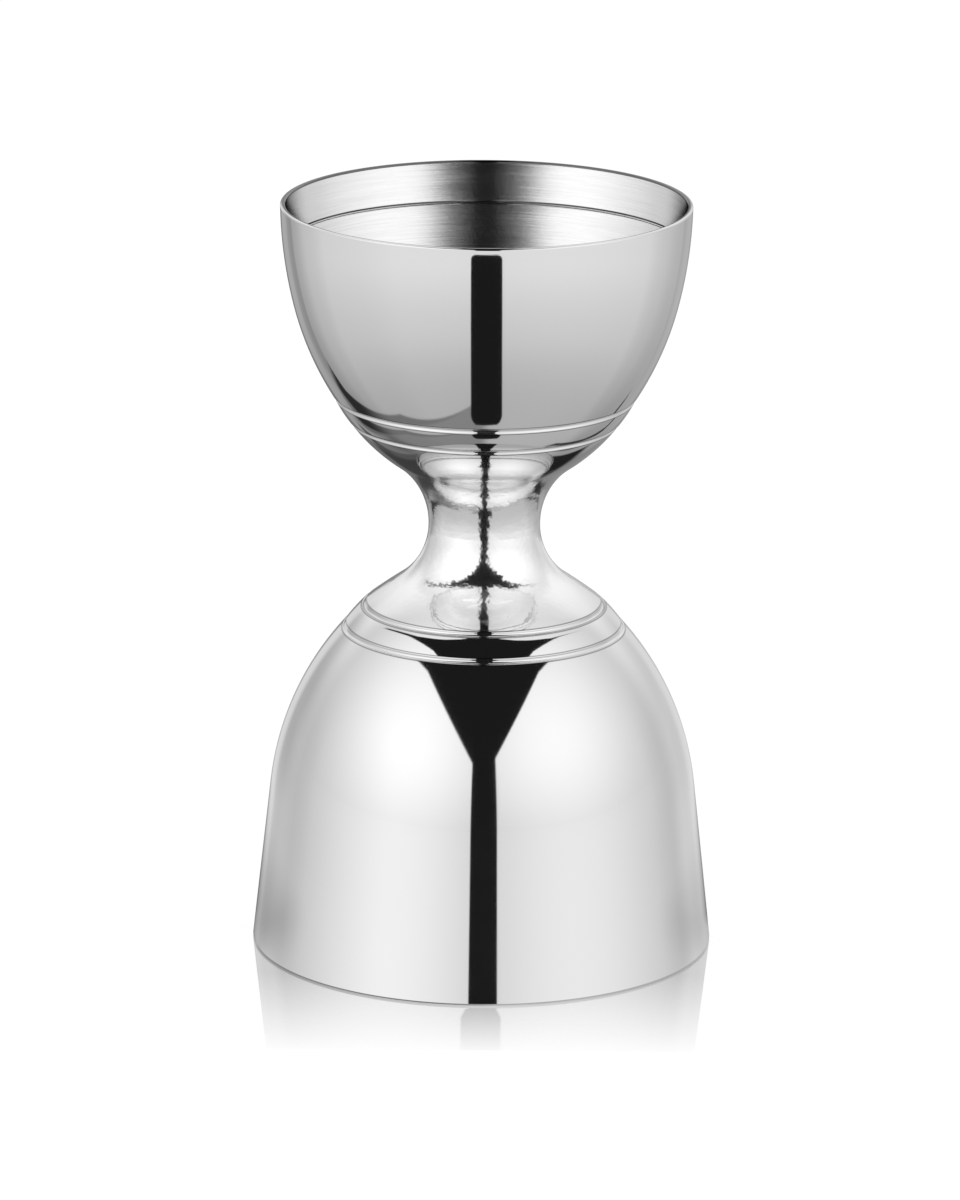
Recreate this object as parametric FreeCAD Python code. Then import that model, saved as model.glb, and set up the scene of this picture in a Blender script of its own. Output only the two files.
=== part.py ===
import FreeCAD, Part
import os
from math import atan, atan2, cos, hypot, pi, radians, sin, sqrt

# A double-ended bar measure of sheet steel. A large bell stands mouth down and a small one
# opens upwards. They are butt-welded at a narrow hollow waist, and each is closed by a
# pressed floor, whose flange two rolled grooves lock in place.
# Millimetres, +Z up, origin at the centre of the lower rim's plane, axis of the bells on Z.

# ---- sheet, rims and waist ----
bell_sheet = 0.6
floor_sheet = 0.6
rim_round = 0.17            # both corners of each rim
waist_radius = 6.25         # where the two bells meet

# ---- lower bell, heights run from its rim to the waist ----
lower_rim_radius = 25.95
lower_skirt_draft = 2.0     # how much the skirt draws in over its height
lower_skirt_height = 18.2
lower_skirt_turn = 0.0      # degrees, a straight cone
lower_belly_height = 18.4
lower_wide_ring_radius = 15.71     # the groove nearer the rim
lower_band_height = 2.5
lower_band_turn = 10.0      # degrees, the crown of the band between the grooves
lower_narrow_ring_radius = 13.52   # the groove nearer the waist
lower_neck_height = 9.25
lower_throat_radius = 7.77
lower_throat_turn = 55.9    # degrees

# ---- upper bell ----
upper_rim_radius = 22.9
upper_skirt_draft = 1.5
upper_skirt_height = 11.45
upper_skirt_turn = 13.4     # degrees, gently bowed
upper_belly_height = 10.45
upper_wide_ring_radius = 16.87
upper_band_height = 2.85
upper_band_turn = 12.0      # degrees
upper_narrow_ring_radius = 15.05
upper_neck_height = 11.9
upper_throat_radius = 8.6
upper_throat_turn = 55.8    # degrees

# ---- rolled grooves outside, and the ridges that they raise inside ----
groove_width = 0.95
groove_depth = 0.25
ridge_width = 1.1
ridge_height = 0.15

# ---- measuring lines, scored inside, by the ounces that they mark ----
line_width = 0.5
line_depth = 0.1
upper_three_quarter_drop = 4.75    # drops are measured down from the rim
upper_half_drop = 10.9
lower_one_and_half_drop = 7.8
lower_one_drop = 15.9

# ---- pressed floors ----
knuckle_radius = 2.4
knuckle_clearance = 0.1     # between the knuckle and the ridge that it rests over
dish_radius = 30.0

# ---- welds ----
floor_bead_height = 1.5
waist_bead_width = 0.8


# ---- outlines: lists of stretches (start, end, turn) in the plane (radius, depth) ----
# A stretch runs from start to end and turns to the left by turn radians on its way,
# so it is a line where turn is 0 and an arc elsewhere. Depth grows away from a rim,
# and the metal of a bell lies to the left of its outside.

def heading(start, end):
    return atan2(end[1] - start[1], end[0] - start[0])


def entering(stretch):
    return heading(stretch[0], stretch[1]) - stretch[2] / 2


def leaving(stretch):
    return heading(stretch[0], stretch[1]) + stretch[2] / 2


def step(point, distance, direction):
    return (point[0] + distance * cos(direction), point[1] + distance * sin(direction))


def length(stretch):
    start, end, turn = stretch
    chord = hypot(end[0] - start[0], end[1] - start[1])
    return chord if turn == 0 else chord * (turn / 2) / sin(turn / 2)


def total_length(outline):
    return sum(length(stretch) for stretch in outline)


def along(stretch, share):
    """The point at a share of a stretch's length."""
    start, end, turn = stretch
    chord = hypot(end[0] - start[0], end[1] - start[1])
    part = share if turn == 0 else sin(turn * share / 2) / sin(turn / 2)
    return step(start, chord * part, entering(stretch) + turn * share / 2)


def sheet_side(outline, thickness):
    """The other side of a sheet: each stretch moved to its left."""
    moved = []
    for stretch in outline:
        start = step(stretch[0], thickness, entering(stretch) + pi / 2)
        end = step(stretch[1], thickness, leaving(stretch) + pi / 2)
        moved.append((start, end, stretch[2]))
    return moved


def backwards(outline):
    return [(end, start, -turn) for start, end, turn in reversed(outline)]


def span(outline, first, last):
    """What lies between two distances along an outline."""
    kept = []
    passed = 0.0
    for stretch in outline:
        size = length(stretch)
        low = max(first - passed, 0.0) / size
        high = min(last - passed, size) / size
        passed += size
        if high - low > 1e-6:
            kept.append((along(stretch, low), along(stretch, high), stretch[2] * (high - low)))
    return kept


def distance_at_depth(outline, depth):
    """How far along an outline it first passes a depth."""
    passed = 0.0
    for stretch in outline:
        if stretch[1][1] >= depth:
            low, high = 0.0, 1.0
            for halving in range(50):
                middle = (low + high) / 2
                if along(stretch, middle)[1] < depth:
                    low = middle
                else:
                    high = middle
            return passed + low * length(stretch)
        passed += length(stretch)
    raise ValueError("the outline ends above that depth")


def dented(outline, distance, width, sink):
    """A round dent across an outline, to its left where sink is positive."""
    before = span(outline, 0.0, distance - width / 2)
    after = span(outline, distance + width / 2, total_length(outline))
    start, end = before[-1][1], after[0][0]
    chord = hypot(end[0] - start[0], end[1] - start[1])
    return before + [(start, end, -4 * atan(2 * sink / chord))] + after


def closing(start, end):
    return [(start, end, 0.0)]


# ---- solids ----
lower_height = lower_skirt_height + lower_belly_height + lower_band_height + lower_neck_height
upper_height = upper_skirt_height + upper_belly_height + upper_band_height + upper_neck_height
overall_height = lower_height + upper_height


def lower_place(point):
    return FreeCAD.Vector(max(point[0], 0.0), 0, point[1])


def upper_place(point):
    return FreeCAD.Vector(max(point[0], 0.0), 0, overall_height - point[1])


def edges(outline, place):
    made = []
    for stretch in outline:
        start, end, turn = stretch
        if turn == 0:
            made.append(Part.LineSegment(place(start), place(end)).toShape())
        else:
            made.append(Part.Arc(place(start), place(along(stretch, 0.5)), place(end)).toShape())
    return made


def turned(made):
    """The solid that a closed section, given by its edges, sweeps about the Z axis."""
    face = Part.Face(Part.Wire(Part.__sortEdges__(made)))
    solid = face.revolve(FreeCAD.Vector(0, 0, 0), FreeCAD.Vector(0, 0, 1), 360)
    if solid.Volume < 0:
        solid.reverse()
    return solid


def bell_outside(rim_radius, skirt_draft, skirt_height, skirt_turn, belly_height,
                 wide_ring_radius, band_height, band_turn, narrow_ring_radius, neck_height,
                 throat_radius, throat_turn):
    """A bell's outside from its rim to the middle of the waist, with no grooves."""
    wide_depth = skirt_height + belly_height
    narrow_depth = wide_depth + band_height
    waist_depth = narrow_depth + neck_height
    bend = radians(throat_turn)
    rim = (rim_radius, 0.0)
    shoulder = (rim_radius - skirt_draft, skirt_height)
    wide_ring = (wide_ring_radius, wide_depth)
    narrow_ring = (narrow_ring_radius, narrow_depth)
    throat = (waist_radius + throat_radius * (1 - cos(bend)),
              waist_depth - throat_radius * sin(bend))
    waist = (waist_radius, waist_depth)
    skirt_end = heading(rim, shoulder) + radians(skirt_turn) / 2
    flare_end = pi / 2 + bend
    return [
        (rim, shoulder, radians(skirt_turn)),
        (shoulder, wide_ring, 2 * (heading(shoulder, wide_ring) - skirt_end)),
        (wide_ring, narrow_ring, radians(band_turn)),
        (narrow_ring, throat, 2 * (flare_end - heading(narrow_ring, throat))),
        (throat, waist, -bend),
    ]


def ring_distances(outline):
    """How far along a bell's outline its two grooves or ridges lie."""
    wide = total_length(outline[:2])
    return wide, wide + length(outline[2])


def rolled(outline, width, sink):
    """An outline with both rings rolled in, the farther one first, since each adds length."""
    wide, narrow = ring_distances(outline)
    return dented(dented(outline, narrow, width, sink), wide, width, sink)


def rim_corners(outside, inside):
    """Both walls cut back for the rim's rounded corners, and the rim between them."""
    wall = entering(outside[0])
    above = step(inside[0][0], bell_sheet, wall + pi)
    inside = closing(above, inside[0][0]) + inside
    corner = distance_at_depth(inside, 0.0)
    inner_corner = span(inside, corner, total_length(inside))[0][0]
    outer_corner = outside[0][0]
    outside = span(outside, rim_round, total_length(outside))
    inside = span(inside, corner + rim_round, total_length(inside))
    land_start = (inner_corner[0] + rim_round, 0.0)
    land_end = (outer_corner[0] - rim_round, 0.0)
    rim = [
        (inside[0][0], land_start, pi - wall),
        (land_start, land_end, 0.0),
        (land_end, outside[0][0], wall),
    ]
    return outside, inside, rim


def bell(plain, line_drops, place):
    """A spun shell from its rim down to its side of the waist weld."""
    outside = rolled(plain, groove_width, groove_depth)
    inside = rolled(sheet_side(plain, bell_sheet), ridge_width, ridge_height)
    for drop in line_drops:
        inside = dented(inside, distance_at_depth(inside, drop), line_width, -line_depth)
    outside = span(outside, 0.0, total_length(outside) - waist_bead_width / 2)
    inside = span(inside, 0.0, total_length(inside) - inner_bead_share(plain))
    outside, inside, rim = rim_corners(outside, inside)
    section = rim + outside + closing(outside[-1][1], inside[-1][1]) + backwards(inside)
    return turned(edges(section, place))


def inner_bead_share(plain):
    """Half the waist bead's width, as the concave throat spreads it on the inside."""
    throat = plain[-1]
    return waist_bead_width / 2 * length(sheet_side([throat], bell_sheet)[0]) / length(throat)


def knuckle_centre(flange):
    """The centre that a floor's knuckle turns about, where its flange ends."""
    return step(flange[-1][1], knuckle_radius + floor_sheet, leaving(flange[-1]) + pi / 2)


def flange_against(plain):
    """The longest flange whose knuckle passes inside the narrow ring's ridge."""
    inside = sheet_side(plain, bell_sheet)
    wide, narrow = ring_distances(inside)
    ridge = dented(inside, narrow, ridge_width, ridge_height)[3]
    crest = along(ridge, 0.5)
    start = wide + ridge_width / 2
    low, high = start, narrow
    for halving in range(50):
        middle = (low + high) / 2
        centre = knuckle_centre(span(inside, wide, middle))
        gap = hypot(crest[0] - centre[0], crest[1] - centre[1]) - knuckle_radius - floor_sheet
        if gap > knuckle_clearance:
            low = middle
        else:
            high = middle
    return span(inside, start, low)


def floor_underside(plain):
    """A floor's lower face: the flange against the bell, the knuckle and the dish."""
    flange = flange_against(plain)
    start = flange[-1][1]
    direction = leaving(flange[-1])
    centre = knuckle_centre(flange)
    dish = dish_radius + floor_sheet
    reach = dish_radius - knuckle_radius
    dish_centre = (0.0, centre[1] - sqrt(reach ** 2 - centre[0] ** 2))
    outward = heading(dish_centre, centre)
    meeting = step(dish_centre, dish, outward)
    middle = (0.0, dish_centre[1] + dish)
    return flange + [
        (start, meeting, outward + pi / 2 - direction),
        (meeting, middle, pi / 2 - outward),
    ]


def cup_floor(plain, place):
    """A pressed dish with its flange held between the two ridges."""
    underside = floor_underside(plain)
    top = sheet_side(underside, floor_sheet)
    section = underside + closing(underside[-1][1], top[-1][1]) + backwards(top)
    section += closing(top[0][0], underside[0][0])
    return turned(edges(section, place))


def floor_weld(plain, place):
    """A bead that seals the flange's edge and eases the cup's wall into its floor."""
    inside = sheet_side(plain, bell_sheet)
    bead_start = ring_distances(inside)[0] - ridge_width / 2 - floor_bead_height
    ridged = rolled(inside, ridge_width, ridge_height)
    underside = floor_underside(plain)
    backing = span(ridged, bead_start, distance_at_depth(ridged, underside[0][0][1]))
    flange_edge = sheet_side(underside, floor_sheet)[0][0]
    section = backing + closing(backing[-1][1], flange_edge)
    section += closing(flange_edge, backing[0][0])
    return turned(edges(section, place))


def waist_weld(lower_plain, upper_plain):
    """The bead between the two bells, ground flush with the waist."""
    made = []
    for plain, place in ((lower_plain, lower_place), (upper_plain, upper_place)):
        whole = total_length(plain)
        outside = span(plain, whole - waist_bead_width / 2, whole)
        inside = sheet_side(outside, bell_sheet)
        section = closing(inside[0][0], outside[0][0]) + outside + backwards(inside)
        made += edges(section, place)
    return turned(made)


# ---- the part ----
lower = bell_outside(lower_rim_radius, lower_skirt_draft, lower_skirt_height, lower_skirt_turn,
                     lower_belly_height, lower_wide_ring_radius, lower_band_height,
                     lower_band_turn, lower_narrow_ring_radius, lower_neck_height,
                     lower_throat_radius, lower_throat_turn)
upper = bell_outside(upper_rim_radius, upper_skirt_draft, upper_skirt_height, upper_skirt_turn,
                     upper_belly_height, upper_wide_ring_radius, upper_band_height,
                     upper_band_turn, upper_narrow_ring_radius, upper_neck_height,
                     upper_throat_radius, upper_throat_turn)

parts = {
    "upper_bell": bell(upper, (upper_three_quarter_drop, upper_half_drop), upper_place),
    "lower_bell": bell(lower, (lower_one_and_half_drop, lower_one_drop), lower_place),
    "upper_cup_floor": cup_floor(upper, upper_place),
    "lower_cup_floor": cup_floor(lower, lower_place),
    "upper_floor_weld": floor_weld(upper, upper_place),
    "lower_floor_weld": floor_weld(lower, lower_place),
    "waist_weld": waist_weld(lower, upper),
}

os.makedirs("parts", exist_ok=True)
for name, shape in parts.items():
    if not shape.isValid() or len(shape.Solids) != 1:
        raise ValueError(name + " is not one valid solid")
    shape.exportStep("parts/" + name + ".step")
    print(name, round(shape.Volume, 1), "mm3")
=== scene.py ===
from math import atan, atan2, ceil, cos, hypot, pi, radians, sin, sqrt

import bmesh
import bpy
from mathutils import Matrix, Vector


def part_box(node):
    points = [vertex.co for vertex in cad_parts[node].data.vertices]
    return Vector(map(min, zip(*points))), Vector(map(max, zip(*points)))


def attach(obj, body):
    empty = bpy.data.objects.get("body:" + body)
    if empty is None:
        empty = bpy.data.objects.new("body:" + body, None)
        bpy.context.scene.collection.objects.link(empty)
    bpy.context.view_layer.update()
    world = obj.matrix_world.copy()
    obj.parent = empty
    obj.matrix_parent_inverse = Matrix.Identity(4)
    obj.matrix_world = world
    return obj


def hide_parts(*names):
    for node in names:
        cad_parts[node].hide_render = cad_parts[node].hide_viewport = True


# A polished steel bar measure: two spun bells joined at a welded waist, each closed by a
# pressed floor. Every piece is a section drawn in millimetres and turned about Z.

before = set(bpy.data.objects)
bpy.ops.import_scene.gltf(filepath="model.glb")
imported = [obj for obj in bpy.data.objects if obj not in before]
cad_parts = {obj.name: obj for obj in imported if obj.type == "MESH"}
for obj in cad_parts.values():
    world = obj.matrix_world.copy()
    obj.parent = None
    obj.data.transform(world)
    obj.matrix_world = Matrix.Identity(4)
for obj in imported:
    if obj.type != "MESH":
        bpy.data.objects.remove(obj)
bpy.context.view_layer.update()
MM = 0.001

# ---- heights and places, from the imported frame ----
overall_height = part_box("upper_bell")[1].z / MM
waist_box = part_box("waist_weld")
lower_height = (waist_box[0].z + waist_box[1].z) / 2 / MM
upper_height = overall_height - lower_height
waist_radius = 6.25

# ---- sheet ----
bell_sheet = 0.6
floor_sheet = 0.6
rim_round = 0.24

# ---- rings, the same on both bells ----
groove_width = 0.85
groove_depth = 0.22
ridge_width = 1.1
ridge_height = 0.15
shoulder_share = 0.4        # of a ring's half width, taken by its rounded shoulder

# ---- each bell, from its rim to the waist ----
lower_shape = {
    "rim_radius": 25.95,
    "skirt_draft": 2.0,
    "skirt_height": 18.2,
    "skirt_turn": radians(0.0),
    "belly_height": 18.4,
    "wide_ring_radius": 15.71,
    "band_height": 2.5,
    "narrow_ring_radius": 13.52,
    "band_turn": radians(10.0),
    "height": lower_height,
    "throat_radius": 7.77,
    "throat_turn": radians(55.9),
}
upper_shape = {
    "rim_radius": 22.9,
    "skirt_draft": 1.5,
    "skirt_height": 11.45,
    "skirt_turn": radians(13.4),
    "belly_height": 10.45,
    "wide_ring_radius": 16.87,
    "band_height": 2.85,
    "narrow_ring_radius": 15.05,
    "band_turn": radians(12.0),
    "height": upper_height,
    "throat_radius": 8.6,
    "throat_turn": radians(55.8),
}

# ---- measuring lines inside the cups ----
line_width = 0.5
line_depth = 0.1
upper_line_drops = (4.75, 10.9)
lower_line_drops = (7.8, 15.9)

# ---- floors and beads ----
knuckle_radius = 2.4
knuckle_clearance = 0.1
dish_radius = 30.0
floor_bead_height = 1.5
waist_bead_width = 0.8

# ---- fineness ----
turn_step = radians(2.2)
short_turn_step = radians(5.5)
short_stretch = 1.2         # below this length a bend takes the wider steps
length_step = 1.1
round_sectors = 16
sector_steps = 16
join_distance = 0.002
crease_angle = radians(35.0)
halvings = 40               # when a place on an outline is searched for
least_share = 1e-6          # a stretch cut shorter than this share is dropped


# ---- outlines: lists of stretches (start, end, turn) in the plane (radius, depth) ----

def heading(start, end):
    return atan2(end[1] - start[1], end[0] - start[0])


def entering(stretch):
    return heading(stretch[0], stretch[1]) - stretch[2] / 2


def leaving(stretch):
    return heading(stretch[0], stretch[1]) + stretch[2] / 2


def step(point, distance, direction):
    return (point[0] + distance * cos(direction), point[1] + distance * sin(direction))


def length(stretch):
    start, end, turn = stretch
    chord = hypot(end[0] - start[0], end[1] - start[1])
    return chord if turn == 0 else chord * (turn / 2) / sin(turn / 2)


def total_length(outline):
    return sum(length(stretch) for stretch in outline)


def along(stretch, share):
    start, end, turn = stretch
    chord = hypot(end[0] - start[0], end[1] - start[1])
    part = share if turn == 0 else sin(turn * share / 2) / sin(turn / 2)
    return step(start, chord * part, entering(stretch) + turn * share / 2)


def sheet_side(outline, thickness):
    moved = []
    for stretch in outline:
        start = step(stretch[0], thickness, entering(stretch) + pi / 2)
        end = step(stretch[1], thickness, leaving(stretch) + pi / 2)
        moved.append((start, end, stretch[2]))
    return moved


def backwards(outline):
    return [(end, start, -turn) for start, end, turn in reversed(outline)]


def span(outline, first, last):
    kept = []
    passed = 0.0
    for stretch in outline:
        size = length(stretch)
        low = max(first - passed, 0.0) / size
        high = min(last - passed, size) / size
        passed += size
        if high - low > least_share:
            kept.append((along(stretch, low), along(stretch, high), stretch[2] * (high - low)))
    return kept


def distance_at_depth(outline, depth):
    passed = 0.0
    for stretch in outline:
        if stretch[1][1] >= depth:
            low, high = 0.0, 1.0
            for halving in range(halvings):
                middle = (low + high) / 2
                if along(stretch, middle)[1] < depth:
                    low = middle
                else:
                    high = middle
            return passed + low * length(stretch)
        passed += length(stretch)
    raise ValueError("the outline ends above that depth")


def dented(outline, distance, width, sink):
    """A dent with rounded shoulders across an outline, to its left where sink is positive."""
    before = span(outline, 0.0, distance - width / 2)
    after = span(outline, distance + width / 2, total_length(outline))
    start, end = before[-1][1], after[0][0]
    chord = hypot(end[0] - start[0], end[1] - start[1])
    across = heading(start, end)
    slope = 2 * atan(2 * sink / chord)
    run = shoulder_share * chord / 2
    drop = shoulder_share * sink
    valley_start = step(step(start, run, across), drop, across + pi / 2)
    valley_end = step(step(end, -run, across), drop, across + pi / 2)
    return before + [
        (start, valley_start, slope),
        (valley_start, valley_end, -2 * slope),
        (valley_end, end, slope),
    ] + after


def bell_outside(shape):
    """A bell's outside from its rim to the middle of the waist, with no grooves."""
    wide_depth = shape["skirt_height"] + shape["belly_height"]
    narrow_depth = wide_depth + shape["band_height"]
    bend = shape["throat_turn"]
    rim = (shape["rim_radius"], 0.0)
    shoulder = (shape["rim_radius"] - shape["skirt_draft"], shape["skirt_height"])
    wide_ring = (shape["wide_ring_radius"], wide_depth)
    narrow_ring = (shape["narrow_ring_radius"], narrow_depth)
    throat = (waist_radius + shape["throat_radius"] * (1 - cos(bend)),
              shape["height"] - shape["throat_radius"] * sin(bend))
    waist = (waist_radius, shape["height"])
    skirt_end = heading(rim, shoulder) + shape["skirt_turn"] / 2
    flare_end = pi / 2 + bend
    return [
        (rim, shoulder, shape["skirt_turn"]),
        (shoulder, wide_ring, 2 * (heading(shoulder, wide_ring) - skirt_end)),
        (wide_ring, narrow_ring, shape["band_turn"]),
        (narrow_ring, throat, 2 * (flare_end - heading(narrow_ring, throat))),
        (throat, waist, -bend),
    ]


def ring_distances(outline):
    wide = total_length(outline[:2])
    return wide, wide + length(outline[2])


def rolled(outline, width, sink):
    """An outline with both rings rolled in, the farther one first, since each adds length."""
    wide, narrow = ring_distances(outline)
    return dented(dented(outline, narrow, width, sink), wide, width, sink)


def rim_corners(outside, inside):
    """Both walls cut back for the rim's rounded corners, and the rim between them."""
    wall = entering(outside[0])
    above = step(inside[0][0], bell_sheet, wall + pi)
    inside = [(above, inside[0][0], 0.0)] + inside
    corner = distance_at_depth(inside, 0.0)
    inner_corner = span(inside, corner, total_length(inside))[0][0]
    outer_corner = outside[0][0]
    outside = span(outside, rim_round, total_length(outside))
    inside = span(inside, corner + rim_round, total_length(inside))
    land_start = (inner_corner[0] + rim_round, 0.0)
    land_end = (outer_corner[0] - rim_round, 0.0)
    rim = [
        (inside[0][0], land_start, pi - wall),
        (land_start, land_end, 0.0),
        (land_end, outside[0][0], wall),
    ]
    return outside, inside, rim


def inner_bead_share(plain):
    throat = plain[-1]
    return waist_bead_width / 2 * length(sheet_side([throat], bell_sheet)[0]) / length(throat)


def bell_section(plain, line_drops):
    outside = rolled(plain, groove_width, groove_depth)
    inside = rolled(sheet_side(plain, bell_sheet), ridge_width, ridge_height)
    for drop in line_drops:
        inside = dented(inside, distance_at_depth(inside, drop), line_width, -line_depth)
    outside = span(outside, 0.0, total_length(outside) - waist_bead_width / 2)
    inside = span(inside, 0.0, total_length(inside) - inner_bead_share(plain))
    outside, inside, rim = rim_corners(outside, inside)
    return rim + outside + [(outside[-1][1], inside[-1][1], 0.0)] + backwards(inside)


def knuckle_centre(flange):
    return step(flange[-1][1], knuckle_radius + floor_sheet, leaving(flange[-1]) + pi / 2)


def flange_against(plain):
    """The longest flange whose knuckle passes inside the narrow ring's ridge."""
    inside = sheet_side(plain, bell_sheet)
    wide, narrow = ring_distances(inside)
    ridge = dented(inside, narrow, ridge_width, ridge_height)[4]
    crest = along(ridge, 0.5)
    start = wide + ridge_width / 2
    low, high = start, narrow
    for halving in range(halvings):
        middle = (low + high) / 2
        centre = knuckle_centre(span(inside, wide, middle))
        gap = hypot(crest[0] - centre[0], crest[1] - centre[1]) - knuckle_radius - floor_sheet
        if gap > knuckle_clearance:
            low = middle
        else:
            high = middle
    return span(inside, start, low)


def floor_underside(plain):
    flange = flange_against(plain)
    start = flange[-1][1]
    direction = leaving(flange[-1])
    centre = knuckle_centre(flange)
    dish = dish_radius + floor_sheet
    reach = dish_radius - knuckle_radius
    dish_centre = (0.0, centre[1] - sqrt(reach ** 2 - centre[0] ** 2))
    outward = heading(dish_centre, centre)
    meeting = step(dish_centre, dish, outward)
    middle = (0.0, dish_centre[1] + dish)
    return flange + [
        (start, meeting, outward + pi / 2 - direction),
        (meeting, middle, pi / 2 - outward),
    ]


def floor_section(plain):
    underside = floor_underside(plain)
    top = sheet_side(underside, floor_sheet)
    return (underside + [(underside[-1][1], top[-1][1], 0.0)] + backwards(top)
            + [(top[0][0], underside[0][0], 0.0)])


def floor_bead_section(plain):
    inside = sheet_side(plain, bell_sheet)
    bead_start = ring_distances(inside)[0] - ridge_width / 2 - floor_bead_height
    ridged = rolled(inside, ridge_width, ridge_height)
    underside = floor_underside(plain)
    backing = span(ridged, bead_start, distance_at_depth(ridged, underside[0][0][1]))
    flange_edge = sheet_side(underside, floor_sheet)[0][0]
    hollow = radians(24.0)
    return (backing + [(backing[-1][1], flange_edge, 0.0)]
            + [(flange_edge, backing[0][0], hollow)])


def waist_bead_section(plain):
    """One bell's half of the bead at the waist."""
    whole = total_length(plain)
    outside = span(plain, whole - waist_bead_width / 2, whole)
    inside = sheet_side(outside, bell_sheet)
    return [(inside[0][0], outside[0][0], 0.0)] + outside + [
        (outside[-1][1], inside[-1][1], 0.0)] + backwards(inside)


# ---- meshes ----

def draw(bm, outline):
    """Draws an outline as a chain of edges: a single point is spun or slid along each stretch."""
    first = outline[0][0]
    tip = bm.verts.new((first[0], 0.0, first[1]))
    for stretch in outline:
        start, end, turn = stretch
        bend_step = short_turn_step if length(stretch) < short_stretch else turn_step
        pieces = max(1, ceil(abs(turn) / bend_step), ceil(length(stretch) / length_step))
        if turn == 0:
            slide = Vector((end[0] - start[0], 0.0, end[1] - start[1])) / pieces
            centre = start
        else:
            slide = Vector()
            chord = hypot(end[0] - start[0], end[1] - start[1])
            centre = step(start, chord / 2 / sin(turn / 2), entering(stretch) + pi / 2)
        made = bmesh.ops.spin(bm, geom=[tip], cent=(centre[0], 0.0, centre[1]), dvec=slide,
                              axis=(0.0, -1.0, 0.0), angle=turn, steps=pieces)
        tip = [item for item in made["geom_last"] if isinstance(item, bmesh.types.BMVert)][0]
        tip.co = (end[0], 0.0, end[1])


def turn_round(bm):
    """Turns what is drawn about Z: one sector is spun, then copied round and joined up."""
    sector = 2 * pi / round_sectors
    bmesh.ops.remove_doubles(bm, verts=bm.verts[:], dist=join_distance)
    bmesh.ops.spin(bm, geom=bm.verts[:] + bm.edges[:], cent=(0.0, 0.0, 0.0),
                   axis=(0.0, 0.0, 1.0), angle=sector, steps=sector_steps)
    bmesh.ops.spin(bm, geom=bm.verts[:] + bm.edges[:] + bm.faces[:], cent=(0.0, 0.0, 0.0),
                   axis=(0.0, 0.0, 1.0), angle=2 * pi - sector, steps=round_sectors - 1,
                   use_duplicate=True)
    bmesh.ops.remove_doubles(bm, verts=bm.verts[:], dist=join_distance)


def turned(name, section, upside_down):
    """Turns a closed section into a finished piece, standing or turned over."""
    bm = bmesh.new()
    draw(bm, section)
    turn_round(bm)
    if upside_down:
        bmesh.ops.scale(bm, vec=(1.0, 1.0, -1.0), verts=bm.verts[:])
        bmesh.ops.translate(bm, vec=(0.0, 0.0, overall_height), verts=bm.verts[:])
    bmesh.ops.scale(bm, vec=(MM, MM, MM), verts=bm.verts[:])
    return finished(name, bm)


def finished(name, bm):
    bmesh.ops.recalc_face_normals(bm, faces=bm.faces[:])
    for face in bm.faces:
        face.smooth = True
    for edge in bm.edges:
        edge.smooth = edge.calc_face_angle(0.0) < crease_angle
    mesh = bpy.data.meshes.new(name)
    bm.to_mesh(mesh)
    bm.free()
    piece = bpy.data.objects.new(name, mesh)
    bpy.context.scene.collection.objects.link(piece)
    return piece


# ---- shader graphs ----

class Graph:
    """The nodes of one material or world, added and joined by short calls."""

    def __init__(self, owner):
        owner.use_nodes = True
        self.tree = owner.node_tree
        self.tree.nodes.clear()

    def feed(self, socket, value):
        if isinstance(value, bpy.types.NodeSocket):
            self.tree.links.new(value, socket)
        else:
            socket.default_value = value

    def add(self, kind, inputs=(), **settings):
        node = self.tree.nodes.new("ShaderNode" + kind)
        for name, value in settings.items():
            setattr(node, name, value)
        for name, value in dict(inputs).items():
            self.feed(node.inputs[name], value)
        return node

    def math(self, operation, *values, clamp=False):
        node = self.add("Math", operation=operation, use_clamp=clamp)
        for socket, value in zip(node.inputs, values):
            self.feed(socket, value)
        return node.outputs[0]

    def total(self, *terms):
        """A sum of values, each of them plain or a (value, weight) pair."""
        result = 0.0
        for term in terms:
            if isinstance(term, tuple):
                result = self.math("MULTIPLY_ADD", term[0], term[1], result)
            else:
                result = self.math("ADD", term, result)
        return result

    def ramp(self, value, low, high, low_value=0.0, high_value=1.0):
        """A smooth change from one value to another between two limits."""
        return self.add("MapRange", {"Value": value, "From Min": low, "From Max": high,
                                     "To Min": low_value, "To Max": high_value},
                        interpolation_type="SMOOTHSTEP").outputs[0]

    def parts(self, vector):
        return self.add("SeparateXYZ", {"Vector": vector}).outputs

    def vector(self, x, y, z):
        return self.add("CombineXYZ", {"X": x, "Y": y, "Z": z}).outputs[0]

    def noise(self, vector, scale, detail=2.0, roughness=0.5):
        return self.add("TexNoise", {"Vector": vector, "Scale": scale, "Detail": detail,
                                     "Roughness": roughness}).outputs["Fac"]

    def bump(self, height, distance, normal=None):
        node = self.add("Bump", {"Height": height, "Distance": distance, "Strength": 1.0})
        if normal:
            self.feed(node.inputs["Normal"], normal)
        return node.outputs[0]

    def mixed(self, share, first, second):
        node = self.add("MixShader", {"Fac": share})
        self.feed(node.inputs[1], first)
        self.feed(node.inputs[2], second)
        return node.outputs[0]

    def place(self):
        return self.add("TexCoord").outputs["Object"]


# ---- finishes ----

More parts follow.
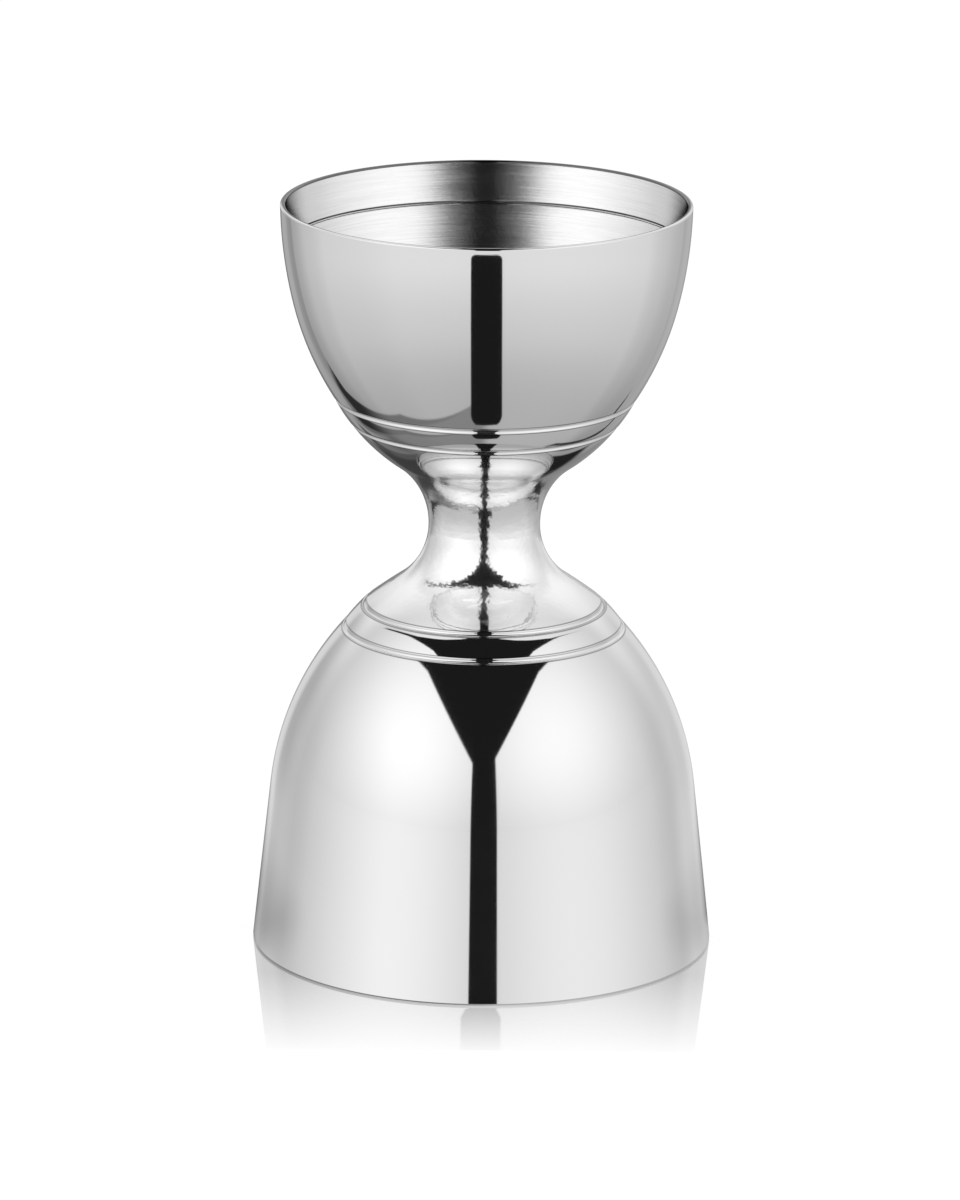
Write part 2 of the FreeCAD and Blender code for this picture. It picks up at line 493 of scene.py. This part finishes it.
neck_full_radius = 0.0090       # metres: inside this radius the neck is fully hand worked
neck_end_radius = 0.0140
neck_wave_size = 330.0
neck_wave_height = 0.00010
neck_haze = 0.08                # added to the roughness on the neck
neck_painted_highlight = 0.16                # painted highlight: added to the colour on the neck, so that it looks lighter
polish_haze = (0.035, 0.055)    # the polish's roughness, least and most
hair_bump = 0.0000004
grooves_per_metre = 5200.0
groove_bump = 0.000007
lean_fade = 30.0                # share of the lean that is lost per metre below the rim
shade_line_fade = 0.00007
ring_painted_shade = (0.00002, 0.42)     # painted shade at the rings' edges: half width in metres, and the shade that is left
# painted shade on the measuring lines' upper flanks, where shadow falls in the cut: half width in
# metres, and the shade that is left
line_painted_shade = (0.00008, 0.12)
line_shade_offset = 0.10         # millimetres from a line's middle towards its rim, where the painted shade sits on the upper flank
inner_edge_start = 0.25         # millimetres in from the rim's outer edge, where the painted dark inner edge starts
inward_limit = -0.3             # faces that look further in than this are brushed

lower = bell_outside(lower_shape)
upper = bell_outside(upper_shape)


def ring_edge_depths(plain):
    """How far below the rim each edge of both rings lies."""
    depths = []
    for ring in ring_distances(plain):
        for edge in (ring - groove_width / 2, ring + groove_width / 2):
            depths.append(span(plain, 0.0, edge)[-1][1][1])
    return depths


def painted_shade_lines(graph, z, heights, half, shade):
    """1 over a surface, and painted shade in thin dark lines at some heights in millimetres."""
    tone = 1.0
    for height in heights:
        away = graph.math("ABSOLUTE", graph.math("SUBTRACT", z, height * MM))
        tone = graph.math("MULTIPLY", tone, graph.ramp(away, half, half + shade_line_fade, shade, 1.0))
    return tone


def steel(name, build):
    """A bare steel finish; build gives it its colour, its roughness and its fine relief."""
    material = bpy.data.materials.new(name)
    graph = Graph(material)
    shader = graph.add("BsdfPrincipled", {"Metallic": 1.0})
    build(graph, shader.inputs)
    output = graph.add("OutputMaterial")
    graph.tree.links.new(shader.outputs[0], output.inputs["Surface"])
    return material


def round_and_radius(graph):
    """The direction round the axis, of length 1, and the distance from the axis in metres."""
    x, y, z = graph.parts(graph.place())
    radius = graph.math("SQRT", graph.total(graph.math("MULTIPLY", x, x),
                                            graph.math("MULTIPLY", y, y)))
    safe = graph.math("MAXIMUM", radius, 0.0002)
    return graph.math("DIVIDE", x, safe), graph.math("DIVIDE", y, safe), radius, z


def polish(colour):
    """Mirror polish, with the neck a little wavy from hand work on the weld, a painted highlight
    that lifts the neck's colour, and painted shade in thin dark lines at the rings' edges.
    """
    def build(graph, sockets):
        place = graph.place()
        east, north, radius, z = round_and_radius(graph)
        neck = graph.ramp(radius, neck_end_radius, neck_full_radius)
        waves = graph.noise(place, neck_wave_size, detail=3.0, roughness=0.6)
        wavy = graph.math("MULTIPLY", graph.math("SUBTRACT", waves, 0.5), neck)
        hair = graph.noise(graph.vector(graph.math("MULTIPLY", east, 6.0),
                                        graph.math("MULTIPLY", north, 6.0),
                                        graph.math("MULTIPLY", z, 9000.0)), 1.0, detail=3.0)
        shaped = graph.bump(hair, hair_bump, graph.bump(wavy, neck_wave_height))
        graph.feed(sockets["Normal"], shaped)
        haze = graph.ramp(graph.noise(place, 60.0, detail=4.0), 0.35, 0.75, *polish_haze)
        graph.feed(sockets["Roughness"], graph.total(haze, (neck, neck_haze)))
        # painted shade: thin dark lines at both rings' edges, standing in for the dark their groove
        # flanks mirror
        rings = ring_edge_depths(lower)
        rings += [overall_height - depth for depth in ring_edge_depths(upper)]
        # painted highlight: the neck's colour is lifted so that it looks lighter
        bright = graph.math("MULTIPLY", graph.total((neck, neck_painted_highlight), colour),
                            painted_shade_lines(graph, z, rings, *ring_painted_shade))
        graph.feed(sockets["Base Color"], graph.vector(bright, bright, bright))
    return build


def round_the_axis(graph, east, north, turn_speed, run):
    """A place for noise that changes slowly round the axis and fast along run."""
    return graph.vector(graph.math("MULTIPLY", east, turn_speed),
                        graph.math("MULTIPLY", north, turn_speed), run)


def leaning_to_mouth(graph, z, lean):
    """The surface's direction, leaning towards the cup's mouth, most at the rim."""
    depth = graph.math("MINIMUM", z, graph.total((z, -1.0), overall_height * MM))
    steep = graph.math("MAXIMUM", graph.total((depth, -lean_fade * lean), lean), 0.0)
    upward = graph.ramp(z, lower_height * MM - 0.001, lower_height * MM + 0.001, -1.0, 1.0)
    leaning = graph.add("VectorMath", operation="ADD")
    graph.feed(leaning.inputs[0], graph.add("NewGeometry").outputs["Normal"])
    graph.feed(leaning.inputs[1], graph.vector(0.0, 0.0, graph.math("MULTIPLY", steep, upward)))
    return graph.add("VectorMath", {"Vector": leaning.outputs[0]},
                     operation="NORMALIZE").outputs[0]


def brush(turn_speed, lean, shaded_heights=()):
    """Fine grooves round the axis, whose faces lean towards the mouth of their cup.

    turn_speed says how quickly one groove fades to the next, and the last argument gives the
    heights of thin dark rings of painted shade, on each measuring line's upper flank."""
    def build(graph, sockets):
        east, north, radius, z = round_and_radius(graph)
        run = graph.total((z, grooves_per_metre), (radius, grooves_per_metre / 2))
        grooves = graph.noise(round_the_axis(graph, east, north, turn_speed, run), 1.0,
                              detail=5.0, roughness=0.65)
        broad = graph.noise(round_the_axis(graph, east, north, turn_speed,
                                           graph.math("MULTIPLY", run, 0.16)), 1.0)
        leaning = leaning_to_mouth(graph, z, lean)
        graph.feed(sockets["Normal"], graph.bump(grooves, groove_bump, leaning))
        graph.feed(sockets["Roughness"], graph.total((grooves, 0.05), (broad, 0.05), 0.12))
        # painted shade: dark rings on the measuring lines' upper flanks, where shadow falls in the
        # cut
        shade = graph.math("MULTIPLY_ADD", grooves, 0.30, 0.75)
        shade = graph.math("MULTIPLY", shade, painted_shade_lines(graph, z, shaded_heights, *line_painted_shade))
        graph.feed(sockets["Base Color"], graph.vector(shade, shade, shade))
        sockets["Specular Tint"].default_value = (0.0, 0.0, 0.0, 1.0)
        sockets["Anisotropic"].default_value = 1.0
        sockets["Anisotropic Rotation"].default_value = 0.25
        graph.feed(sockets["Tangent"], graph.vector(graph.math("MULTIPLY", north, -1.0), east, 0.0))
    return build


polished_steel = steel("polished_steel", polish(0.80))
# heights of the painted shade on the measuring lines
painted_shade_heights = ([drop - line_shade_offset for drop in lower_line_drops]
                  + [overall_height - drop + line_shade_offset for drop in upper_line_drops])
brushed_cup = steel("brushed_cup_steel", brush(2.2, 0.60, painted_shade_heights))
brushed_floor = steel("brushed_floor_steel", brush(1.6, 0.0))
brushed_bead = steel("brushed_weld_bead", brush(6.0, 0.0))
# painted reflection: a nearly black polish on the rim's inner edge, standing in for the dark place
# it mirrors
painted_dark_edge = steel("painted_dark_edge_steel", polish(0.16))


# ---- pieces ----

def two_sided(piece, rim_height, rim_radius):
    """Polish outside and on the rim, brushing inside, and between them a dark inner edge, a painted
    reflection of the dark place it mirrors.
    """
    for material in (polished_steel, brushed_cup, painted_dark_edge):
        piece.data.materials.append(material)
    for face in piece.data.polygons:
        centre = face.center
        outward = (centre.x * face.normal.x + centre.y * face.normal.y) / hypot(centre.x, centre.y)
        face.material_index = 0 if outward > inward_limit else 1
        from_outer_edge = rim_radius - hypot(centre.x, centre.y)
        near_rim = abs(centre.z - rim_height) < rim_round * MM
        if near_rim and from_outer_edge > inner_edge_start * MM:
            face.material_index = 2


def add(piece, node, material=None):
    """Sets a finished piece in place of its node."""
    if material:
        piece.data.materials.append(material)
    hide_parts(node)
    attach(piece, "root")
    return piece


for size, plain, drops, over in (("lower", lower, lower_line_drops, False),
                                 ("upper", upper, upper_line_drops, True)):
    bell = add(turned(size + "_bell_shell", bell_section(plain, drops), over),
               size + "_bell")
    two_sided(bell, overall_height * MM if over else 0.0, plain[0][0][0] * MM)
    add(turned(size + "_cup_dish", floor_section(plain), over),
        size + "_cup_floor", brushed_floor)
    add(turned(size + "_dish_bead", floor_bead_section(plain), over),
        size + "_floor_weld", brushed_bead)


def waist_bead():
    """Both halves of the waist's bead as one ring, closed where they meet."""
    halves = bmesh.new()
    for plain, over in ((lower, False), (upper, True)):
        half = bmesh.new()
        draw(half, waist_bead_section(plain))
        if over:
            bmesh.ops.scale(half, vec=(1.0, 1.0, -1.0), verts=half.verts[:])
            bmesh.ops.translate(half, vec=(0.0, 0.0, overall_height), verts=half.verts[:])
        flat = bpy.data.meshes.new("half")
        half.to_mesh(flat)
        half.free()
        halves.from_mesh(flat)
        bpy.data.meshes.remove(flat)
    bmesh.ops.remove_doubles(halves, verts=halves.verts[:], dist=join_distance)
    inner = [edge for edge in halves.edges
             if all(abs(end.co.z - lower_height) < join_distance / 2 for end in edge.verts)]
    bmesh.ops.delete(halves, geom=inner, context="EDGES")
    turn_round(halves)
    bmesh.ops.scale(halves, vec=(MM, MM, MM), verts=halves.verts[:])
    return finished("waist_bead", halves)


add(waist_bead(), "waist_weld", polished_steel)


# ---- studio: a white room with a dark gap in front, seen by the polished steel ----

board_hole_radius = 0.0252              # metres, just inside the foot
board_drop = 0.00005                    # how far the board lies below the foot
board_reach = 3.0
board_mirror = 0.70                     # how much of what it mirrors the board shows, at most
dark_level = 0.012                      # what the darkest places still give
lit_loss = 0.015                        # the share of their own tone that lit places lose
far_left = (-0.99, -0.75, 0.95, 1.0)    # a slight fall of light at the far left


def line_between(graph, value, middle, half, edge):
    """1 within half of a middle value, fading to 0 over an edge."""
    away = graph.math("ABSOLUTE", graph.total(value, (middle, -1.0)))
    return graph.ramp(away, half, half + edge, 1.0, 0.0)


def edge_tones(graph, across, left, fade, sides):
    """Tones towards the back of the room, by how far across per distance back they lie."""
    furthest = graph.math("SUBTRACT", 1.0, graph.ramp(across, 0.18, 0.27))
    stripe = graph.math("MULTIPLY", graph.ramp(across, 0.42, 0.62),
                        graph.ramp(across, 0.75, 1.6, 1.0, 0.0))
    dark_left = graph.total((furthest, 0.72), (stripe, 0.36))
    dark_right = graph.total((furthest, 0.36), (stripe, 0.14))
    dark = graph.add("Mix", {"Factor": left, "A": dark_right, "B": dark_left}).outputs[0]
    gradual = graph.math("MULTIPLY", graph.ramp(across, 0.3, 4.5, sides, 0.0), fade)
    tone = graph.math("SUBTRACT", 1.0, graph.math("MULTIPLY", dark, fade))
    return graph.math("MULTIPLY", tone, graph.math("SUBTRACT", 1.0, gradual))


def side_panels(graph, x, y, z, side):
    """Two lit panels that bend round the object, under a top edge of two slopes."""
    front_top = graph.total((side, 1.449), (y, -0.345), (z, -1.0))
    rear_top = graph.total((side, 1.240), (y, -0.710), (z, -1.0))
    top = graph.math("MINIMUM", front_top, rear_top)
    # they stop short of the front, and leave a gap a little to the right
    off_middle = graph.math("ABSOLUTE", graph.total(x, (y, 0.0157)))
    gap = graph.total((off_middle, 1.0), (y, 0.123))
    return graph.math("MULTIPLY", graph.ramp(top, -0.010, 0.010), graph.ramp(gap, -0.004, 0.004))


def ceiling_panel(graph, x, y, z, side):
    """A ceiling that reaches forward over the object, parted by a slot in the middle."""
    level_run = graph.math("SQRT", graph.total((graph.math("MULTIPLY", z, z), -1.0), 1.0001))
    ahead = graph.math("MAXIMUM", graph.math("MULTIPLY", y, -1.0), 0.0)
    bulge = graph.math("DIVIDE", graph.math("MULTIPLY", ahead, ahead), level_run)
    bulge = graph.math("DIVIDE", graph.math("MULTIPLY", bulge, bulge), level_run)
    ceiling = graph.total(z, (side, -1.37), (y, 0.90), (ahead, -0.90), (bulge, -5.0), (x, 0.05))
    slot = graph.total((side, 1.0), (y, 0.10))
    return graph.math("MULTIPLY", graph.ramp(ceiling, -0.03, 0.03), graph.ramp(slot, 0.015, 0.055))


def clear_of_wide_slot(graph, y, z, side):
    """0 in the slot where it widens, overhead and behind the object, and 1 elsewhere."""
    overhead = graph.ramp(graph.total(z, (graph.math("MAXIMUM", y, 0.0), 0.40)), 0.90, 0.93)
    beside = graph.ramp(graph.total((side, 1.0), (y, 0.066)), 0.116, 0.130)
    return graph.math("MAXIMUM", beside, graph.math("SUBTRACT", 1.0, overhead))


def panel_brightness(graph, x, y, z, side):
    """Brightest at each side's middle, and dimmer low down, far left and at the back's edges."""
    hot = graph.total((side, 0.660), (y, -0.580), (z, 0.480))
    hot = graph.math("POWER", graph.math("MAXIMUM", hot, 0.0), 2.5)
    rear = graph.ramp(graph.total((side, -0.5), (y, 0.866)), 0.0, 0.30, 0.0, 0.24)
    uneven = graph.math("MULTIPLY", x, graph.total((y, 0.06), -0.02))
    level = graph.total((hot, 0.54), rear, 0.70, uneven)
    level = graph.math("MULTIPLY", level, graph.ramp(z, 0.0, 0.50, 0.945, 1.0))
    level = graph.math("MULTIPLY", level, graph.ramp(x, *far_left))
    across = graph.math("DIVIDE", side, graph.math("MAXIMUM", y, 0.001))
    left = graph.ramp(x, 0.02, -0.02)
    low = graph.ramp(z, 0.05, 0.45, 1.0, 0.0)
    return graph.math("MULTIPLY", level, edge_tones(graph, across, left, low, 0.12))


def backdrop_patch(graph, y, z, side):
    """1 straight behind, where the board mirrors the backdrop for the camera."""
    behind = graph.math("MULTIPLY", graph.ramp(side, 0.038, 0.110, 1.0, 0.0),
                        graph.ramp(y, 0.0, 0.1))
    return graph.math("MULTIPLY", behind, line_between(graph, z, 0.320, 0.008, 0.070))


def light_room():
    """What the polished steel sees: lit panels round a dark gap in front and a slot overhead."""
    world = bpy.data.worlds.new("studio")
    bpy.context.scene.world = world
    graph = Graph(world)
    x, y, z = graph.parts(graph.add("TexCoord").outputs["Generated"])
    side = graph.math("ABSOLUTE", x)
    # a back wall closes the room
    back = graph.ramp(graph.total((side, -0.50), (y, 1.0)), 0.0, 0.10)
    lit = graph.math("MAXIMUM", side_panels(graph, x, y, z, side),
                     ceiling_panel(graph, x, y, z, side))
    lit = graph.math("MULTIPLY", graph.math("MAXIMUM", lit, back),
                     clear_of_wide_slot(graph, y, z, side))
    lit = graph.math("MULTIPLY", lit, panel_brightness(graph, x, y, z, side))
    seen = graph.total((lit, 1.0 - lit_loss), dark_level)
    seen = graph.add("Mix", {"Factor": backdrop_patch(graph, y, z, side), "A": seen,
                             "B": 1.0 / board_mirror}).outputs[0]
    # the camera and matt surfaces see a plain white room
    paths = graph.add("LightPath").outputs
    soft = graph.math("MAXIMUM", paths["Is Camera Ray"], paths["Is Diffuse Ray"])
    strength = graph.add("Mix", {"Factor": soft, "A": seen, "B": 1.0}).outputs[0]
    background = graph.add("Background", {"Strength": strength})
    background.inputs["Color"].default_value = (1.0, 1.0, 1.0, 1.0)
    output = graph.add("OutputWorld")
    graph.tree.links.new(background.outputs[0], output.inputs["Surface"])


def beyond_edge(graph, side, y):
    """How far inside the foot's shadow a place on the board lies, in metres."""
    front = graph.total((side, -0.682), (y, 0.731), 0.0405)
    flank = graph.total((side, -0.927), (y, 0.375), 0.0506)
    flare = graph.math("MAXIMUM", graph.total(y, -0.060), 0.0)
    return graph.total(graph.math("MINIMUM", front, flank), (flare, 0.35))


def shadow_on_left(graph, side, y):
    """A broad shadow with a crisp outer edge, darkest behind the foot."""
    inside = beyond_edge(graph, side, y)
    band = graph.ramp(graph.total(inside, (y, -0.12)), 0.004, 0.010, 1.0, 0.0)
    band = graph.math("MULTIPLY", band, graph.ramp(y, 0.005, 0.045, 0.62, 0.95))
    streak = line_between(graph, inside, graph.total((y, 0.25), 0.0073), 0.0015, 0.0030)
    streak = graph.math("MULTIPLY", streak, graph.ramp(y, 0.020, 0.035))
    second = line_between(graph, inside, 0.033, 0.0015, 0.0030)
    second = graph.math("MULTIPLY", second, graph.ramp(y, 0.040, 0.055, 0.0, 0.85))
    close = graph.ramp(graph.total(side, (y, -0.25)), 0.030, 0.036, 0.75, 0.0)
    close = graph.math("MULTIPLY", close, graph.ramp(y, 0.000, 0.012))
    deep = graph.math("MULTIPLY", graph.ramp(inside, 0.026, 0.030), graph.ramp(y, 0.045, 0.060))
    wide = graph.total((streak, -0.32), (deep, 0.25), 0.50)
    dark = graph.math("MAXIMUM", graph.math("MAXIMUM", band, second),
                      graph.math("MAXIMUM", close, wide))
    dark = graph.math("MULTIPLY", dark, graph.ramp(inside, -0.0015, 0.0005))
    return graph.math("MULTIPLY", dark, graph.ramp(y, 0.074, 0.092, 1.0, 0.25))


def shadow_on_right(graph, side, y):
    """A thin curved line, and a dark patch close behind the foot."""
    inside = beyond_edge(graph, side, y)
    line = line_between(graph, inside, 0.016, 0.0014, 0.0018)
    line = graph.math("MULTIPLY", line, graph.ramp(y, -0.006, 0.002))
    line = graph.math("MULTIPLY", line, graph.ramp(y, 0.070, 0.085, 0.90, 0.0))
    patch = graph.ramp(inside, 0.0235, 0.0255)
    patch = graph.math("MULTIPLY", patch, graph.ramp(y, 0.002, 0.010))
    patch = graph.math("MULTIPLY", patch, graph.ramp(y, 0.046, 0.062, 0.985, 0.10))
    return graph.math("MAXIMUM", line, patch)


def clear_of_board_gap(graph, x, y):
    """0 where the room's gap runs on over the board as a painted dark strip, widening, between two
    rounded ends.
    """
    spread = graph.math("SQRT", graph.total((graph.math("MULTIPLY", y, y), 0.0206), 0.0085 ** 2))
    for start, size, corner in ((-0.0405, 0.0075, 0.0045), (-0.296, -0.050, 0.020)):
        share = graph.math("DIVIDE", graph.math("SUBTRACT", y, start), size, clamp=True)
        rest = graph.math("SQRT", graph.total((graph.math("MULTIPLY", share, share), -1.0), 1.0))
        spread = graph.total(spread, (rest, corner), -corner)
    off_middle = graph.math("ABSOLUTE", graph.math("SUBTRACT", x, 0.0009))
    beside = graph.ramp(graph.math("SUBTRACT", off_middle, spread), -0.0004, 0.0004)
    beyond_ends = graph.math("MAXIMUM", graph.ramp(y, -0.0335, -0.0330),
                             graph.ramp(y, -0.345, -0.347))
    return graph.math("MAXIMUM", beside, beyond_ends)


def board_seen_by_steel(graph, x, y, radius):
    """The board's tone in the steel, painted into its glow: painted shade near the foot, painted
    shadows, and a painted dark strip where the room's gap runs on.
    """
    side = graph.math("ABSOLUTE", x)
    turn = graph.math("DIVIDE", graph.total((side, 0.643), (y, -0.766)), radius)
    left = graph.ramp(x, 0.004, -0.004)
    shadow = graph.add("Mix", {"Factor": left, "A": shadow_on_right(graph, side, y),
                               "B": shadow_on_left(graph, side, y)}).outputs[0]
    beyond = graph.math("MAXIMUM", graph.math("ADD", y, 0.005), 0.0001)
    across = graph.math("DIVIDE", graph.math("SUBTRACT", side, 0.026), beyond)
    behind = graph.ramp(y, 0.0, 0.02, 0.0, 0.75)
    tone = graph.ramp(radius, 0.0, 0.27, 0.60, 0.90)
    for factor in (
            graph.total((turn, 0.18), 0.82),
            clear_of_board_gap(graph, x, y),
            graph.ramp(radius, 0.045, 0.13, 0.85, 1.0),
            graph.ramp(graph.math("DIVIDE", x, radius), *far_left),
            graph.math("SUBTRACT", 1.0, shadow),
            edge_tones(graph, across, left, behind, 0.25)):
        tone = graph.math("MULTIPLY", tone, factor)
    return graph.total((tone, 1.0 - lit_loss), dark_level)


def gloss_for_camera(graph, x, y, facing):
    """Strong in front of the foot, where its faint image lies, and none beside and behind."""
    gloss = graph.math("MULTIPLY", graph.total((y, 27.6), 1.20),
                       graph.ramp(y, -0.0412, -0.0407), clamp=True)
    gloss = graph.math("MINIMUM", gloss, 0.80)
    for factor in (
            graph.ramp(y, -0.004, 0.008, 1.0, 0.0),
            graph.ramp(graph.math("ABSOLUTE", x), 0.0265, 0.0295, 1.0, 0.0),
            graph.ramp(facing, 0.35, 0.60)):
        gloss = graph.math("MULTIPLY", gloss, factor)
    return gloss


def mirrored_for_steel(graph, x, y, radius, facing):
    """How bright the board's mirror image is: full when grazing, and dimmer by the foot as painted
    shade.
    """
    by_foot = graph.math("MULTIPLY", graph.ramp(radius, 0.026, 0.075, 1.0, 0.0),
                         graph.ramp(y, -0.014, 0.006))
    by_foot = graph.math("MULTIPLY", by_foot, graph.ramp(x, -0.02, 0.02, 0.37, 0.24))
    return graph.math("MULTIPLY", graph.ramp(facing, 0.74, 1.0, 0.92, 1.0),
                      graph.math("SUBTRACT", 1.0, by_foot))


def board_body(graph, seen, from_camera):
    """The board under its gloss: it glows, and takes soft shade only for the camera."""
    level = graph.add("Mix", {"Factor": from_camera, "A": seen, "B": 0.90}).outputs[0]
    glow = graph.add("Emission", {"Strength": level}).outputs[0]
    shaded = graph.add("BsdfDiffuse", {"Color": (0.13, 0.13, 0.13, 1.0)}).outputs[0]
    black = graph.add("Emission", {"Strength": 0.0}).outputs[0]
    body = graph.add("AddShader")
    graph.feed(body.inputs[0], glow)
    graph.feed(body.inputs[1], graph.mixed(from_camera, black, shaded))
    return body.outputs[0]


def floor_finish():
    """Glossy white board: greyer near the foot as painted shade, and a mirror at a grazing angle.
    """
    material = bpy.data.materials.new("studio_board")
    graph = Graph(material)
    x, y = graph.parts(graph.place())[:2]
    radius = graph.math("SQRT", graph.total(graph.math("MULTIPLY", x, x),
                                            graph.math("MULTIPLY", y, y)))
    facing = graph.add("LayerWeight", {"Blend": 0.5}).outputs["Facing"]
    from_camera = graph.add("LightPath").outputs["Is Camera Ray"]
    # the camera sees a faint image of the foot; the steel sees the gloss of a grazing view
    grazing = graph.math("ADD", facing, graph.ramp(radius, 0.10, 0.25, 0.12, 0.0))
    gloss = graph.add("Mix", {"Factor": from_camera, "A": graph.ramp(grazing, 0.80, 0.87),
                              "B": gloss_for_camera(graph, x, y, facing)}).outputs[0]
    mirrored = graph.add("Mix", {"Factor": from_camera,
                                 "A": mirrored_for_steel(graph, x, y, radius, facing),
                                 "B": board_mirror}).outputs[0]
    mirror = graph.add("BsdfGlossy", {"Color": graph.vector(mirrored, mirrored, mirrored),
                                      "Roughness": 0.03}).outputs[0]
    body = board_body(graph, board_seen_by_steel(graph, x, y, radius), from_camera)
    board = graph.mixed(gloss, body, mirror)
    # from underneath the board is clear, so that the foot can be seen
    back = graph.add("NewGeometry").outputs["Backfacing"]
    clear = graph.add("BsdfTransparent").outputs[0]
    output = graph.add("OutputMaterial")
    graph.tree.links.new(graph.mixed(back, board, clear), output.inputs["Surface"])
    return material


def studio_floor():
    """A wide ring, open under the foot."""
    bm = bmesh.new()
    start = bm.verts.new((board_hole_radius, 0.0, -board_drop))
    bmesh.ops.spin(bm, geom=[start], cent=(0.0, 0.0, 0.0), axis=(0.0, 0.0, 1.0), angle=0.0,
                   dvec=(board_reach, 0.0, 0.0), steps=1)
    bmesh.ops.spin(bm, geom=bm.verts[:] + bm.edges[:], cent=(0.0, 0.0, 0.0),
                   axis=(0.0, 0.0, 1.0), angle=2 * pi, steps=128, use_merge=True)
    bmesh.ops.remove_doubles(bm, verts=bm.verts[:], dist=0.00001)
    bmesh.ops.recalc_face_normals(bm, faces=bm.faces[:])
    if bm.faces[:][0].normal.z < 0:
        bmesh.ops.reverse_faces(bm, faces=bm.faces[:])
    mesh = bpy.data.meshes.new("studio_floor")
    bm.to_mesh(mesh)
    bm.free()
    board = bpy.data.objects.new("studio_floor", mesh)
    bpy.context.scene.collection.objects.link(board)
    board.data.materials.append(floor_finish())


light_room()
studio_floor()


# ---- camera ----
camera_place = Vector((-0.42, -819.6, 266.2)) * MM
camera_pitch = radians(15.47)
camera_roll = 0.0074
camera_lens = 227.0

camera = bpy.data.cameras.new("camera")
camera.sensor_width = 36.0
camera.lens = camera_lens
camera.clip_end = 20.0
viewer = bpy.data.objects.new("camera", camera)
viewer.matrix_world = (Matrix.Translation(camera_place)
                       @ Matrix.Rotation(pi / 2 - camera_pitch, 4, "X")
                       @ Matrix.Rotation(camera_roll, 4, "Z"))
bpy.context.scene.collection.objects.link(viewer)
bpy.context.scene.camera = viewer
bpy.context.scene.view_settings.view_transform = "Standard"
